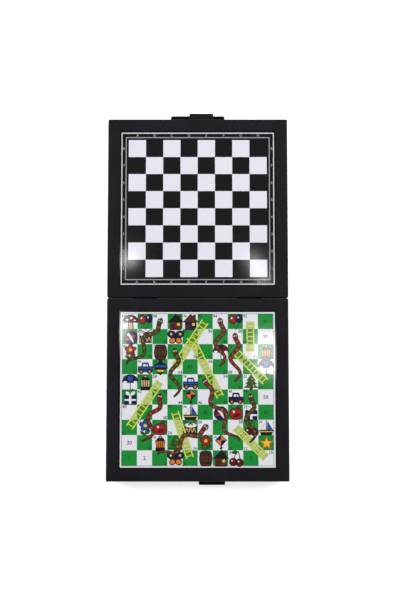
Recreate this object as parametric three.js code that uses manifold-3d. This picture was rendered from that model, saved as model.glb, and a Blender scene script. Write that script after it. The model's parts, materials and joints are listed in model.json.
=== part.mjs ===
// A folding travel game box, lying open and flat with both boards facing up.
//
// Two square plastic trays lie face down, hinge wall to hinge wall: the chess half on the
// +Y side and the snakes-and-ladders half on the -Y side. Each carries a printed steel
// sheet in a shallow recess on top and is hollow underneath, for the game pieces. Two pinned
// hinges run along X at the seam, so the -Y half swings down and round until the
// two hollows face each other. A slider on the front rail of the chess half then
// hooks under a keeper on the other half.
//
// Millimetres, +Z up, table at z = 0. The fold plane is the plane where the halves meet when
// the box is shut, and the fold axis lies in it. "Out" below means away from the fold axis.

import * as THREE from "three";
import { mergeVertices } from "three/addons/utils/BufferGeometryUtils.js";
import Module from "manifold-3d";

// Trays
const trayWidth = 130;
const trayDepth = 130; // hinge wall to front wall
const trayHeight = 10; // fold plane to the top of the border
const foldHeight = 3; // table to fold plane
const seamGap = 0.8; // between the hinge walls, open
const partingGap = 0.3; // between the meeting edges, shut
const wall = 2.4; // left, right and front
const hingeWall = 3.2;
const deck = 1.6; // under the playing sheets
const cornerRadius = 0.8;
const innerCornerRadius = 1;
const edgeRound = 0.7; // top edges, left, right and front
const hingeEdgeRound = 0.5; // top edge at the seam

// Lips: the chess half keeps the outer part of its wall down to the table and the other half
// the inner part, so that the two walls overlap when the box is shut.
const lipGap = 0.3; // beside, above and at the ends of a lip
const lipHingeGap = 0.4; // from the hinge wall to the ends of the lips
const lipBreak = 42; // stretch of the front wall without lips, at the latch

// Playing sheets, stacked in the recess
const sheetSide = 112.2;
const sheetGap = 0.3; // round the sheets
const adhesiveThickness = 0.2;
const steelThickness = 0.4;
const printThickness = 0.2;
const sheetInset = 0.4; // top of the print below the border

// Hinges
const hingeMargin = 18; // tray side to the near end of each hinge
const hingeLength = 18;
const middleKnuckle = 8;
const knuckleGap = 0.4;
const barrelLift = 0.4; // table to the lowest point of a barrel
const barrelGap = 0.3;
const pinRadius = 0.8;
const pinGap = 0.15;
const pinInset = 0.2; // ends of the pin inside the knuckles

// Latch: rail on the chess half, keeper on the other, slider on the rail
const railLength = 39.2;
const railReach = 4; // front wall to the rail's outer face
const railThickness = 1.4;
const railHeight = 3.05; // at the upturned outer edge and the end stops
const railEdge = 1.2;
const railStop = 1.1;
const railRadius = 1;
const keeperStart = 0.7;
const keeperReach = 2.9;
const keeperThickness = 1.4;
const keeperRadius = 1;
const latchGap = 0.3;
const sliderWidth = 17.4;
const sliderCentre = 2.6; // where the slider stands on the rail
const sliderWall = 1.2;
const sliderTop = 1.3;
const sliderHook = 1.5; // behind the rail's upturned edge
const sliderLift = 0.1; // above the table
const sliderWallGap = 0.5; // front wall to the lower hook
const sliderKeeperGap = 0.4; // keeper to the slider, beside and outside it
const gripRibs = 5;
const gripRibWidth = 1.1;
const gripRibPitch = 2.6;
const gripRibHeight = 0.3;
const gripRibMargin = 1.3; // rib ends to the slider's top and bottom

// Places that follow from the sizes above
const rimZ = foldHeight + partingGap / 2; // meeting edges of the walls
const topZ = foldHeight + trayHeight;
const hingeFace = seamGap / 2;
const frontFace = hingeFace + trayDepth;
const recessFloorZ = topZ - sheetInset - printThickness - steelThickness - adhesiveThickness;
const ceilingZ = recessFloorZ - deck;
const sheetCentre = hingeFace + trayDepth / 2;
const outerLip = (wall - lipGap) / 2;
const innerLipFace = (wall + lipGap) / 2;
const lipStart = hingeFace + hingeWall + lipHingeGap;
const lipTopZ = foldHeight * 2 + lipGap / 2; // above the other half's lip when shut
const barrelRadius = foldHeight - barrelLift;
const hingeOffset = trayWidth / 2 - hingeMargin - hingeLength / 2; // middle of each hinge
const sliderInnerFace = railReach + latchGap;
const sliderOuterFace = sliderInnerFace + sliderWall;
const sliderReach = sliderOuterFace + gripRibHeight;
const rootDepth = wall / 2; // how deep a rail or keeper is rooted in the front wall
const overrun = 1; // how far a cut runs past the face that it opens

// Facets
const arcSteps = 5; // on a quarter turn
const rodSides = 32;
const mergeDistance = 1e-4;

const wasm = await Module();
wasm.setup();

// A closed three.js geometry as a solid that can be joined and cut.
function solid(geometry) {
  geometry.deleteAttribute("normal");
  geometry.deleteAttribute("uv");
  const merged = mergeVertices(geometry, mergeDistance);
  return new wasm.Manifold(
    new wasm.Mesh({
      numProp: 3,
      vertProperties: merged.getAttribute("position").array,
      triVerts: new Uint32Array(merged.index.array),
    }),
  );
}

// The finished solid as a named mesh with its own material.
function mesh(name, body, look) {
  const { vertProperties, triVerts } = body.getMesh();
  const geometry = new THREE.BufferGeometry();
  geometry.setAttribute("position", new THREE.BufferAttribute(vertProperties, 3));
  geometry.setIndex(new THREE.BufferAttribute(triVerts, 1));
  geometry.computeVertexNormals();
  const made = new THREE.Mesh(geometry, new THREE.MeshStandardMaterial(look));
  made.name = name;
  return made;
}

// Box between two corners. The y values may come in either order.
function box(x0, x1, y0, y1, z0, z1) {
  const geometry = new THREE.BoxGeometry(x1 - x0, Math.abs(y1 - y0), z1 - z0);
  geometry.translate((x0 + x1) / 2, (y0 + y1) / 2, (z0 + z1) / 2);
  return solid(geometry);
}

function roundedRectangle(x0, x1, ya, yb, radius) {
  const y0 = Math.min(ya, yb);
  const y1 = Math.max(ya, yb);
  const shape = new THREE.Shape();
  shape.absarc(x1 - radius, y0 + radius, radius, -Math.PI / 2, 0);
  shape.absarc(x1 - radius, y1 - radius, radius, 0, Math.PI / 2);
  shape.absarc(x0 + radius, y1 - radius, radius, Math.PI / 2, Math.PI);
  shape.absarc(x0 + radius, y0 + radius, radius, Math.PI, Math.PI * 1.5);
  shape.closePath();
  return shape;
}

// Upright block of the given outline.
function prism(shape, z0, z1) {
  const geometry = new THREE.ExtrudeGeometry(shape, {
    depth: z1 - z0,
    bevelEnabled: false,
    curveSegments: arcSteps,
  });
  geometry.translate(0, 0, z0);
  return solid(geometry);
}

// Upright block whose top edge is rounded. Its lower end lies well under the table.
function roundedBlock(shape, zTop, round) {
  const zBase = -2 * round - overrun;
  const geometry = new THREE.ExtrudeGeometry(shape, {
    depth: zTop - round - zBase,
    bevelThickness: round,
    bevelSize: round,
    bevelOffset: -round,
    bevelSegments: arcSteps,
    curveSegments: arcSteps,
  });
  geometry.translate(0, 0, zBase);
  return solid(geometry);
}

// Bar along X with a section drawn in (y, z).
function bar(section, x0, x1) {
  const shape = new THREE.Shape(section.map(([y, z]) => new THREE.Vector2(y, z)));
  const geometry = new THREE.ExtrudeGeometry(shape, { depth: x1 - x0, bevelEnabled: false });
  const alongX = new THREE.Matrix4().makeBasis(
    new THREE.Vector3(0, 1, 0),
    new THREE.Vector3(0, 0, 1),
    new THREE.Vector3(1, 0, 0),
  );
  geometry.applyMatrix4(alongX);
  geometry.translate(x0, 0, 0);
  return solid(geometry);
}

// Rod along the fold axis.
function rod(radius, x0, x1) {
  const geometry = new THREE.CylinderGeometry(radius, radius, x1 - x0, rodSides);
  geometry.rotateZ(Math.PI / 2);
  geometry.translate((x0 + x1) / 2, 0, foldHeight);
  return solid(geometry);
}

// Outline of a tray, drawn in by the same distance on every side but the seam, where it may
// differ. side is +1 for the half at +Y and -1 for the half at -Y.
function trayOutline(side, inset, hingeInset, radius) {
  const x = trayWidth / 2 - inset;
  return roundedRectangle(-x, x, side * (hingeFace + hingeInset), side * (frontFace - inset), radius);
}

// Plain tray: rounded outside, recess on top, hollow underneath, walls cut back to the fold
// plane along the hinge wall and at the latch.
function tray(side) {
  const acrossSeam = -hingeFace - 2 * cornerRadius - edgeRound;
  const outside = roundedBlock(trayOutline(side, 0, acrossSeam, cornerRadius), topZ, edgeRound)
    .intersect(roundedBlock(trayOutline(side, 0, 0, cornerRadius), topZ, hingeEdgeRound))
    .subtract(box(-trayWidth, trayWidth, 0, side * 2 * trayDepth, -trayHeight, 0));

  const recessX = sheetSide / 2 + sheetGap;
  const recess = box(
    -recessX,
    recessX,
    side * (sheetCentre - recessX),
    side * (sheetCentre + recessX),
    recessFloorZ,
    topZ + overrun,
  );
  const hollow = prism(trayOutline(side, wall, hingeWall, innerCornerRadius), -overrun, ceilingZ);
  const hingeRelief = box(-trayWidth, trayWidth, 0, side * lipStart, -overrun, rimZ);
  const latchRelief = box(
    -lipBreak / 2,
    lipBreak / 2,
    side * (frontFace - wall - overrun),
    side * (frontFace + overrun),
    -overrun,
    rimZ,
  );
  return outside.subtract(recess).subtract(hollow).subtract(hingeRelief).subtract(latchRelief);
}

// The stretch of wall that carries a lip: left, right and front, but not at the latch.
function lipZone(side) {
  const plain = lipBreak / 2 - lipGap;
  const walls = box(
    -trayWidth,
    trayWidth,
    side * (lipStart - lipGap),
    side * (frontFace + overrun),
    -overrun,
    lipTopZ,
  );
  const latchStretch = box(
    -plain,
    plain,
    side * (frontFace - wall - overrun),
    side * (frontFace + 2 * overrun),
    -2 * overrun,
    lipTopZ + overrun,
  );
  return walls.subtract(latchStretch);
}

// Takes the inner part of the wall away, which leaves an outer lip.
function withOuterLip(shell, side) {
  const inside = prism(trayOutline(side, outerLip, 0, innerCornerRadius), -overrun, lipTopZ);
  return shell.subtract(inside.intersect(lipZone(side)));
}

// Takes the outer part of the wall away, which leaves an inner lip.
function withInnerLip(shell, side) {
  const inside = prism(trayOutline(side, innerLipFace, 0, innerCornerRadius), -2 * overrun, topZ);
  return shell.subtract(lipZone(side).subtract(inside));
}

const hingeCentres = [-hingeOffset, hingeOffset];

// Knuckles along X, as [start, end] from the middle of a hinge.
const middleSpan = [[-middleKnuckle / 2, middleKnuckle / 2]];
const outerStart = middleKnuckle / 2 + knuckleGap;
const outerSpans = [
  [-hingeLength / 2, -outerStart],
  [outerStart, hingeLength / 2],
];

// Adds a half's own knuckles, makes room for the other half's, and bores the pin holes.
function withKnuckles(shell, ownSpans, otherSpans) {
  let made = shell;
  for (const centre of hingeCentres) {
    for (const [start, end] of otherSpans) {
      made = made.subtract(
        rod(barrelRadius + barrelGap, centre + start - knuckleGap, centre + end + knuckleGap),
      );
    }
    for (const [start, end] of ownSpans) {
      made = made.add(rod(barrelRadius, centre + start, centre + end));
    }
    const boreEnd = hingeLength / 2 + overrun;
    made = made.subtract(rod(pinRadius + pinGap, centre - boreEnd, centre + boreEnd));
  }
  return made;
}

// Rail on the front wall of the chess half: a flange with an upturned edge, two end stops and
// rounded outer corners.
function rail() {
  const half = railLength / 2;
  const root = frontFace - rootDepth;
  const outer = frontFace + railReach;
  const flange = bar(
    [
      [root, rimZ],
      [outer, rimZ],
      [outer, rimZ + railHeight],
      [outer - railEdge, rimZ + railHeight],
      [outer - railEdge, rimZ + railThickness],
      [root, rimZ + railThickness],
    ],
    -half,
    half,
  );
  const leftStop = box(-half, -half + railStop, root, outer, rimZ, rimZ + railHeight);
  const rightStop = box(half - railStop, half, root, outer, rimZ, rimZ + railHeight);
  const outline = roundedRectangle(-half, half, root - 2 * railRadius, outer, railRadius);
  return flange.add(leftStop).add(rightStop).intersect(prism(outline, rimZ, rimZ + railHeight));
}

// Keeper on the front wall of the other half: a tongue with rounded outer corners.
function keeper() {
  const outline = roundedRectangle(
    keeperStart,
    railLength / 2,
    -(frontFace - rootDepth),
    -(frontFace + keeperReach),
    keeperRadius,
  );
  return prism(outline, rimZ, rimZ + keeperThickness);
}

// Slider: a channel round the rail's upturned edge. It bears on the underside of the rail
// outside the keeper's path, and its left end has a hook that goes under the keeper.
function slider() {
  const left = sliderCentre - sliderWidth / 2;
  const right = sliderCentre + sliderWidth / 2;
  const inner = frontFace + sliderInnerFace;
  const outer = frontFace + sliderOuterFace;
  const ledge = frontFace + keeperReach + sliderKeeperGap;
  const hookOuter = frontFace + railReach - railEdge - latchGap;
  const roofZ = rimZ + railHeight + latchGap;
  const sliderTopZ = roofZ + sliderTop;
  const channel = bar(
    [
      [ledge, sliderLift],
      [outer, sliderLift],
      [outer, sliderTopZ],
      [hookOuter - sliderHook, sliderTopZ],
      [hookOuter - sliderHook, rimZ + railThickness + latchGap],
      [hookOuter, rimZ + railThickness + latchGap],
      [hookOuter, roofZ],
      [inner, roofZ],
      [inner, rimZ - latchGap],
      [ledge, rimZ - latchGap],
    ],
    left,
    right,
  );
  const keeperUnderside = foldHeight - partingGap / 2 - keeperThickness;
  let made = channel.add(
    box(
      left,
      keeperStart - sliderKeeperGap,
      frontFace + sliderWallGap,
      outer,
      sliderLift,
      keeperUnderside - latchGap,
    ),
  );
  for (let i = 0; i < gripRibs; i += 1) {
    const x = sliderCentre + (i - (gripRibs - 1) / 2) * gripRibPitch;
    made = made.add(
      box(
        x - gripRibWidth / 2,
        x + gripRibWidth / 2,
        outer - sliderWall / 2,
        outer + gripRibHeight,
        sliderLift + gripRibMargin,
        sliderTopZ - gripRibMargin,
      ),
    );
  }
  return made;
}

// A flat square sheet of the playing stack.
function sheet(side, z0, thickness) {
  const half = sheetSide / 2;
  return box(
    -half,
    half,
    side * (sheetCentre - half),
    side * (sheetCentre + half),
    z0,
    z0 + thickness,
  );
}

const blackPlastic = { color: 0x242427, roughness: 0.45, metalness: 0 };
const blackGrip = { color: 0x1f1f22, roughness: 0.5, metalness: 0 };
const tackyFilm = { color: 0xd9d4c4, roughness: 0.6, metalness: 0 };
const tinplate = { color: 0xb4b6b8, roughness: 0.35, metalness: 1 };
const chessInk = { color: 0x85848a, roughness: 0.3, metalness: 0 };
const laddersInk = { color: 0x7a9878, roughness: 0.3, metalness: 0 };
const pinSteel = { color: 0xa9abad, roughness: 0.3, metalness: 1 };

const gameBox = new THREE.Group();

// The part's origin is under the middle of its outline, which the latch makes uneven.
gameBox.position.y = (keeperReach - sliderReach) / 2;

const chessHalf = new THREE.Group();
const chessShell = withKnuckles(withOuterLip(tray(1), 1), outerSpans, middleSpan).add(rail());
chessHalf.add(mesh("chess_shell", chessShell, blackPlastic));

const snakesHalf = new THREE.Group();
const snakesShell = withKnuckles(withInnerLip(tray(-1), -1), middleSpan, outerSpans).add(keeper());
snakesHalf.add(mesh("snakes_shell", snakesShell, blackPlastic));

const stacks = [
  { half: chessHalf, side: 1, game: "chess", ink: chessInk },
  { half: snakesHalf, side: -1, game: "snakes", ink: laddersInk },
];
for (const { half, side, game, ink } of stacks) {
  const steelZ = recessFloorZ + adhesiveThickness;
  const printZ = steelZ + steelThickness;
  half.add(
    mesh(game + "_adhesive_sheet", sheet(side, recessFloorZ, adhesiveThickness), tackyFilm),
  );
  half.add(mesh(game + "_steel_sheet", sheet(side, steelZ, steelThickness), tinplate));
  half.add(mesh(game + "_print_sheet", sheet(side, printZ, printThickness), ink));
}

for (const centre of hingeCentres) {
  const reach = hingeLength / 2 - pinInset;
  const name = centre < 0 ? "hinge_pin_left" : "hinge_pin_right";
  chessHalf.add(mesh(name, rod(pinRadius, centre - reach, centre + reach), pinSteel));
}

const latch = new THREE.Group();
latch.add(mesh("latch_slider", slider(), blackGrip));

gameBox.add(chessHalf, snakesHalf, latch);

export default gameBox;
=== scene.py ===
# %% [markdown]
# # A folding game box, open flat
#
# The object is a pocket game box: two black moulded trays, hinged together, with a chessboard
# printed on one and a snakes-and-ladders board on the other. The solids, their sizes and their
# joints come from the CAD model. This lesson gives them their looks: moulded plastic with soft
# edges, two glossy printed sheets whose ink is cut into the surface as real shapes, and the
# steel of the pins.

# %% Load the frame
import json
import math

import bmesh
import bpy
import numpy as np
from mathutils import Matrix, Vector
from mathutils.geometry import delaunay_2d_cdt


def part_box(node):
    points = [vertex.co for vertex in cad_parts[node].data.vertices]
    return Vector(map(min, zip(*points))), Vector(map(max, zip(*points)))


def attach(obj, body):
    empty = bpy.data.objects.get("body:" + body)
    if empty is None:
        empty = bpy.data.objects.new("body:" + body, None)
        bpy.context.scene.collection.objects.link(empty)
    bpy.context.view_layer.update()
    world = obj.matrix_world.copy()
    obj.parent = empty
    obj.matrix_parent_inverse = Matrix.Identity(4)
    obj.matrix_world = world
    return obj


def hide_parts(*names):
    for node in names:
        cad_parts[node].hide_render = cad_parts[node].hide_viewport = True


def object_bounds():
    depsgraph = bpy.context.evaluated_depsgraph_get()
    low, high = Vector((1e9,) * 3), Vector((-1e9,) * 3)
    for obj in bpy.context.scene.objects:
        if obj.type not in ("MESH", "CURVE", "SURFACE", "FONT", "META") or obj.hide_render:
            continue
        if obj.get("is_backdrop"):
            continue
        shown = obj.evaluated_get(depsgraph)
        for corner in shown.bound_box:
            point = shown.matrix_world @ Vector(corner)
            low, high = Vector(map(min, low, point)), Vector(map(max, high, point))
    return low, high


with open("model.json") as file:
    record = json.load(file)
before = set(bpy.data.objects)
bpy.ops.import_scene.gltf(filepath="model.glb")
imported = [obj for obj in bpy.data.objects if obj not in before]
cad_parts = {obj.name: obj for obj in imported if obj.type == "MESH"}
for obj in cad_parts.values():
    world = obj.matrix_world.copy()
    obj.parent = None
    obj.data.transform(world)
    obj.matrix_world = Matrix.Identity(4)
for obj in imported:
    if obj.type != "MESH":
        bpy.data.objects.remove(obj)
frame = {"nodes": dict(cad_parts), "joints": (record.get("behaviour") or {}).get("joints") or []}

MM = 0.001
cad_low, cad_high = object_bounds()
scene = bpy.context.scene
scene.view_settings.view_transform = "Standard"
print("CAD box in mm:", [round(v / MM, 2) for v in cad_high - cad_low])

# %% [markdown]
# ## The camera
#
# The photograph looks almost straight down. The near half measures 1.4 % wider than the far one,
# which gives the tilt once the distance is chosen, and a distance of 0.8 m suits the small size.
# The picture is upright, so Blender counts the 36 mm sensor along its 600 pixels of height.

# %% Camera at the photograph's angle
SENSOR = 36
PICTURE_HEIGHT = 600
FOCAL_PIXELS = 1116.5
DISTANCE = 0.8
TILT = math.radians(5.1)
AIM_X = 1.65 * MM
AIM_BEFORE_SEAM = 1.55 * MM
fold_joint = next(j for j in frame["joints"] if j["name"] == "fold")
seam_y = fold_joint["pos_m"][1]
top_z = cad_high.z
aim = Vector((AIM_X, seam_y - AIM_BEFORE_SEAM, top_z))


def placed(name, data):
    """A new object of the scene, at the origin."""
    made = bpy.data.objects.new(name, data)
    scene.collection.objects.link(made)
    return made


camera_data = bpy.data.cameras.new("camera")
camera_data.sensor_width = SENSOR
camera_data.lens = SENSOR * FOCAL_PIXELS / PICTURE_HEIGHT
camera = placed("camera", camera_data)
camera.location = aim + DISTANCE * Vector((0, -math.sin(TILT), math.cos(TILT)))
camera.rotation_euler = (TILT, 0, 0)
scene.camera = camera
print("camera at", [round(v, 4) for v in camera.location], "lens", round(camera_data.lens, 2))


# %% [markdown]
# ## Colours
#
# Colours are written as a printer or a moulder would name them, in 8-bit sRGB, and turned into the
# linear values that a shader works with.

# %% From sRGB to linear light
def linear(red, green, blue):
    """sRGB bytes to linear light: c/12.92 below 0.04045, else ((c + 0.055)/1.055)^2.4."""
    c = np.array([red, green, blue]) / 255
    return (*np.where(c <= 0.04045, c / 12.92, ((c + 0.055) / 1.055) ** 2.4), 1.0)


print("half grey in linear light:", round(float(linear(128, 128, 128)[0]), 3))


# %% [markdown]
# ## Materials as small node trees
#
# Every finish below is a Principled shader with a few texture nodes in front of it. They could be
# wired by hand in the shader editor. A small class keeps each recipe short instead: it makes a
# node, sets its sockets and links what it is given.

# %% A finish under construction
def feed(tree, target, value):
    """Link another node's output to a socket, or set the socket to a number or a vector."""
    if isinstance(value, bpy.types.NodeSocket):
        tree.links.new(value, target)
    else:
        target.default_value = value


def ranged(tree, value, from_low, from_high, to_low, to_high):
    """A Map Range node, clamped at both ends."""
    made = tree.nodes.new("ShaderNodeMapRange")
    tree.links.new(value, made.inputs["Value"])
    sockets = ("From Min", "From Max", "To Min", "To Max")
    for socket, number in zip(sockets, (from_low, from_high, to_low, to_high)):
        made.inputs[socket].default_value = number
    return made.outputs["Result"]


class Finish:
    """A material under construction, with its Principled shader."""

    def __init__(self, name, **sockets):
        self.material = bpy.data.materials.new(name)
        self.material.use_nodes = True
        self.tree = self.material.node_tree
        self.shader = self.tree.nodes["Principled BSDF"]
        for socket, value in sockets.items():
            self.shader.inputs[socket.replace("_", " ")].default_value = value

    def node(self, kind, settings=None, **inputs):
        """A node of that kind. An input is a number, a vector or another node's output."""
        made = self.tree.nodes.new(kind)
        for key, value in (settings or {}).items():
            setattr(made, key, value)
        for socket, value in inputs.items():
            feed(self.tree, made.inputs[socket.replace("_", " ")], value)
        return made

    def link(self, output, socket):
        """Feed one of the shader's sockets."""
        self.tree.links.new(output, self.shader.inputs[socket])

    def place(self):
        """Object coordinates, in metres from the frame's origin."""
        return self.node("ShaderNodeTexCoord").outputs["Object"]

    def noise(self, scale, detail=3.0, roughness=0.5, where=None):
        """Cloudy noise from 0 to 1, with about scale clouds to the metre."""
        return self.node("ShaderNodeTexNoise", Vector=where or self.place(), Scale=scale,
                         Detail=detail, Roughness=roughness).outputs["Fac"]

    def between(self, fac, low, high):
        """A number that follows fac from low to high."""
        return ranged(self.tree, fac, 0, 1, low, high)

    def ramp(self, fac, *stops):
        """A colour ramp between two (position, colour) stops."""
        made = self.node("ShaderNodeValToRGB", Fac=fac)
        for element, stop in zip(made.color_ramp.elements, stops):
            element.position, element.color = stop
        return made.outputs["Color"]

    def bump(self, height, distance, strength=1.0):
        """A normal that leans as if the height, times distance, were real relief."""
        return self.node("ShaderNodeBump", Height=height, Distance=distance,
                         Strength=strength).outputs["Normal"]


print("a finish can use:", [name for name in vars(Finish) if not name.startswith("_")])


# %% [markdown]
# ## Black moulded plastic
#
# The trays are moulded in one with their knuckles and latch rail. The mould is spark-eroded, so
# the skin has a fine grain, about a third of a millimetre across, which turns the gloss into a
# satin. Handling polishes it unevenly, so the tone and the roughness drift over a few centimetres.

# %% Plastic finishes
DRIFT_SCALE = 55
SATIN = (0.52, 0.62)
GRAIN_DEPTH = 0.02 * MM
GRAIN_STRENGTH = 0.5
TRAY_GRAIN = 3000
LATCH_GRAIN = 2200


def moulded_plastic(name, dark, light, grain):
    """Satin plastic: colour = mix(dark, light, noise), with drifting roughness and a grain bump."""
    finish = Finish(name, IOR=1.5, Specular_IOR_Level=0.2)
    drift = finish.noise(DRIFT_SCALE, 4)
    body = finish.ramp(drift, (0.3, linear(*dark)), (0.7, linear(*light)))
    finish.link(body, "Base Color")
    finish.link(finish.between(drift, *SATIN), "Roughness")
    fine = finish.noise(grain, 2, 0.6)
    finish.link(finish.bump(fine, GRAIN_DEPTH, GRAIN_STRENGTH), "Normal")
    return finish.material


black_plastic = moulded_plastic("black_moulded_plastic", (15, 15, 20), (22, 22, 29), TRAY_GRAIN)
latch_plastic = moulded_plastic("latch_plastic", (16, 16, 19), (22, 22, 26), LATCH_GRAIN)
print("plastics:", black_plastic.name, latch_plastic.name)


# %% [markdown]
# ## The trays
#
# The CAD solids already have the right shape, down to the lips and the pin bores. What a moulding
# has and a CAD solid lacks is a small radius on every edge, which catches a line of light. So each
# tray is a copy of its solid: the loose triangles are merged, flat faces are joined, and a Bevel
# modifier rounds what is still sharp. Edges of less than 30 degrees are shaded smooth, so that the
# large top radius shows no facets.

# %% Finished copies of the plastic solids
MERGE_DISTANCE = 0.002 * MM
FLAT_ANGLE = math.radians(0.5)
SMOOTH_ANGLE = math.radians(30)
ROUNDED_ANGLE = math.radians(35)
TRAY_RADIUS = 0.12 * MM
LATCH_RADIUS = 0.14 * MM


def softened(node, name, radius, material, body):
    """A copy of a CAD solid with its doubles merged and its sharp edges rounded."""
    mesh = frame["nodes"][node].data.copy()
    mesh.name = name
    work = bmesh.new()
    work.from_mesh(mesh)
    bmesh.ops.remove_doubles(work, verts=work.verts, dist=MERGE_DISTANCE)
    bmesh.ops.dissolve_limit(work, angle_limit=FLAT_ANGLE, verts=work.verts, edges=work.edges)
    work.to_mesh(mesh)
    work.free()
    mesh.shade_smooth()
    mesh.set_sharp_from_angle(angle=SMOOTH_ANGLE)
    mesh.materials.clear()
    mesh.materials.append(material)
    piece = placed(name, mesh)
    bevel = piece.modifiers.new("moulded radius", "BEVEL")
    bevel.width = radius
    bevel.segments = 3
    bevel.limit_method = "ANGLE"
    bevel.angle_limit = ROUNDED_ANGLE
    bevel.use_clamp_overlap = False
    bevel.harden_normals = True
    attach(piece, body)
    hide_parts(node)
    print(name, len(mesh.polygons), "faces before the bevel")


softened("chess_shell", "chess_tray", TRAY_RADIUS, black_plastic, "chess_half")
softened("snakes_shell", "snakes_tray", TRAY_RADIUS, black_plastic, "snakes_half")
softened("latch_slider", "latch_thumb_slide", LATCH_RADIUS, latch_plastic, "latch")


# %% [markdown]
# ## Printing: shapes of ink in one surface
#
# A print could be a picture wrapped on the sheet, but here it is geometry, so that it stays sharp
# however close the camera comes. Every patch of ink is a closed outline, computed with numpy and
# laid down in printing order. The round ones come first: circles, petals, stars and leaves.

# %% Round outlines
def full_turn(points):
    """Angles evenly round a circle."""
    return np.linspace(0, 2 * np.pi, points, endpoint=False)


def disc(x, y, rx, ry=None, tilt=0.0, points=26):
    """Ellipse: centre + turn(tilt) of (rx cos t, ry sin t)."""
    t = full_turn(points)
    p = np.stack([rx * np.cos(t), (ry or rx) * np.sin(t)], 1)
    c, s = np.cos(tilt), np.sin(tilt)
    return p @ np.array([[c, s], [-s, c]]) + (x, y)


def petals(x, y, radius, depth, count, tilt=0.0, points=60):
    """Polar curve r = radius (1 + depth cos(count t))."""
    t = full_turn(points)
    r = radius * (1 + depth * np.cos(count * t))
    return np.stack([x + r * np.cos(t + tilt), y + r * np.sin(t + tilt)], 1)


def star(x, y, outer, inner, count, tilt=np.pi / 2):
    """Points on two circles in turn, count on each."""
    t = tilt + np.arange(2 * count) * np.pi / count
    r = np.where(np.arange(2 * count) % 2 == 0, outer, inner)
    return np.stack([x + r * np.cos(t), y + r * np.sin(t)], 1)


def leaf(x0, y0, x1, y1, width, points=10):
    """Two arcs between two points: chord +- width sin(pi t) along the normal."""
    t = np.linspace(0, 1, points)[:, None]
    a, b = np.array([x0, y0]), np.array([x1, y1])
    chord = a + t * (b - a)
    normal = np.array([-(b - a)[1], (b - a)[0]]) / np.hypot(*(b - a))
    side = width * np.sin(np.pi * t) * normal
    return np.concatenate([(chord - side), (chord + side)[-2:0:-1]])


print("points round a disc and a flower:", len(disc(0, 0, 1)), len(petals(0, 0, 1, 0.2, 5)))


# %% [markdown]
# Bands and straight shapes are next. A dark contour is the same outline, pushed out a little and
# printed first. For that, and for the triangulation below, an outline has to run anticlockwise.

# %% Bands, straight shapes and contours
def strip(path, half):
    """A band along a path: path +- half times its unit normal, half a number or one per point."""
    path = np.asarray(path, float)
    along = np.gradient(path, axis=0)
    normal = np.stack([-along[:, 1], along[:, 0]], 1)
    normal /= np.linalg.norm(normal, axis=1)[:, None]
    side = normal * np.reshape(half, (-1, 1))
    return np.concatenate([path - side, (path + side)[::-1]])


def corners(*points):
    """An outline with straight sides between the points given."""
    return np.array(points, float)


def block(x, y, width, height):
    """Rectangle about its centre."""
    return corners((-1, -1), (1, -1), (1, 1), (-1, 1)) * (width / 2, height / 2) + (x, y)


def anticlockwise(outline):
    """The outline in the order that puts its inside on the left, by the sign of its area."""
    x, y = outline.T
    area = np.sum(x * np.roll(y, -1) - y * np.roll(x, -1))
    return outline if area > 0 else outline[::-1]


def grown(outline, by):
    """The outline pushed out along its normals, which leaves room for a dark contour."""
    outline = anticlockwise(outline)
    along = np.roll(outline, -1, 0) - np.roll(outline, 1, 0)
    normal = np.stack([along[:, 1], -along[:, 0]], 1)
    return outline + by * normal / np.linalg.norm(normal, axis=1)[:, None]


print("a square of 2 grown by 0.1:", grown(block(0, 0, 2, 2), 0.1).round(2).tolist())


# %% [markdown]
# Letters and numbers come from Blender's own font. A text object is turned into triangles, and
# each triangle is printed as an outline of its own, so holes in letters need no special care. A
# font's flat curves leave slivers, which the cut couldn't tell from a line, so they are dropped.

# %% Letters
SLIVER = 0.002
CAP_HEIGHT = 0.73
CURVE_STEPS = 3


def lettering(words, height, x, y, weight=0.0):
    """Triangles of a word, scaled to height and centred on x, y, all in mm.

    A triangle's least height is twice its area / its longest side.
    """
    curve = bpy.data.curves.new("type", "FONT")
    curve.body = words
    curve.resolution_u = CURVE_STEPS
    curve.offset = weight
    sorts = bpy.data.objects.new("type", curve)
    mesh = sorts.to_mesh()
    mesh.calc_loop_triangles()
    points = np.empty(len(mesh.vertices) * 3, np.float32)
    mesh.vertices.foreach_get("co", points)
    faces = np.empty(len(mesh.loop_triangles) * 3, np.int32)
    mesh.loop_triangles.foreach_get("vertices", faces)
    sorts.to_mesh_clear()
    bpy.data.objects.remove(sorts)
    bpy.data.curves.remove(curve)
    flat = points.reshape(-1, 3)[:, :2].astype(float)
    low, high = flat.min(0), flat.max(0)
    flat = (flat - (low + high) / 2) * height / CAP_HEIGHT + (x, y)
    triangles = flat[faces.reshape(-1, 3)]
    sides = np.roll(triangles, -1, 1) - triangles
    (ax, ay), (bx, by) = sides[:, 0].T, sides[:, 1].T
    least_height = np.abs(ax * by - ay * bx) / np.linalg.norm(sides, axis=2).max(1)
    return triangles[least_height > SLIVER]


print("triangles in a letter A:", len(lettering("A", 2.0, 0, 0)))


# %% [markdown]
# ## Cutting the sheet
#
# A constrained Delaunay triangulation cuts the sheet's top along all the outlines at once and
# says, for each small triangle, which outlines it lies in. The last one printed wins. One ink is a
# veil, as the ladders' see-through yellow is: it filters the colour under it and adds a little of
# its own. The cut top then gets four walls and a base, so that the sheet is a closed slab.

# %% Cut a plane along outlines and close it to a slab
VEIL = "veil"
KEEP_INSIDE = 1
JOIN_DISTANCE = SLIVER / 10


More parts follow.
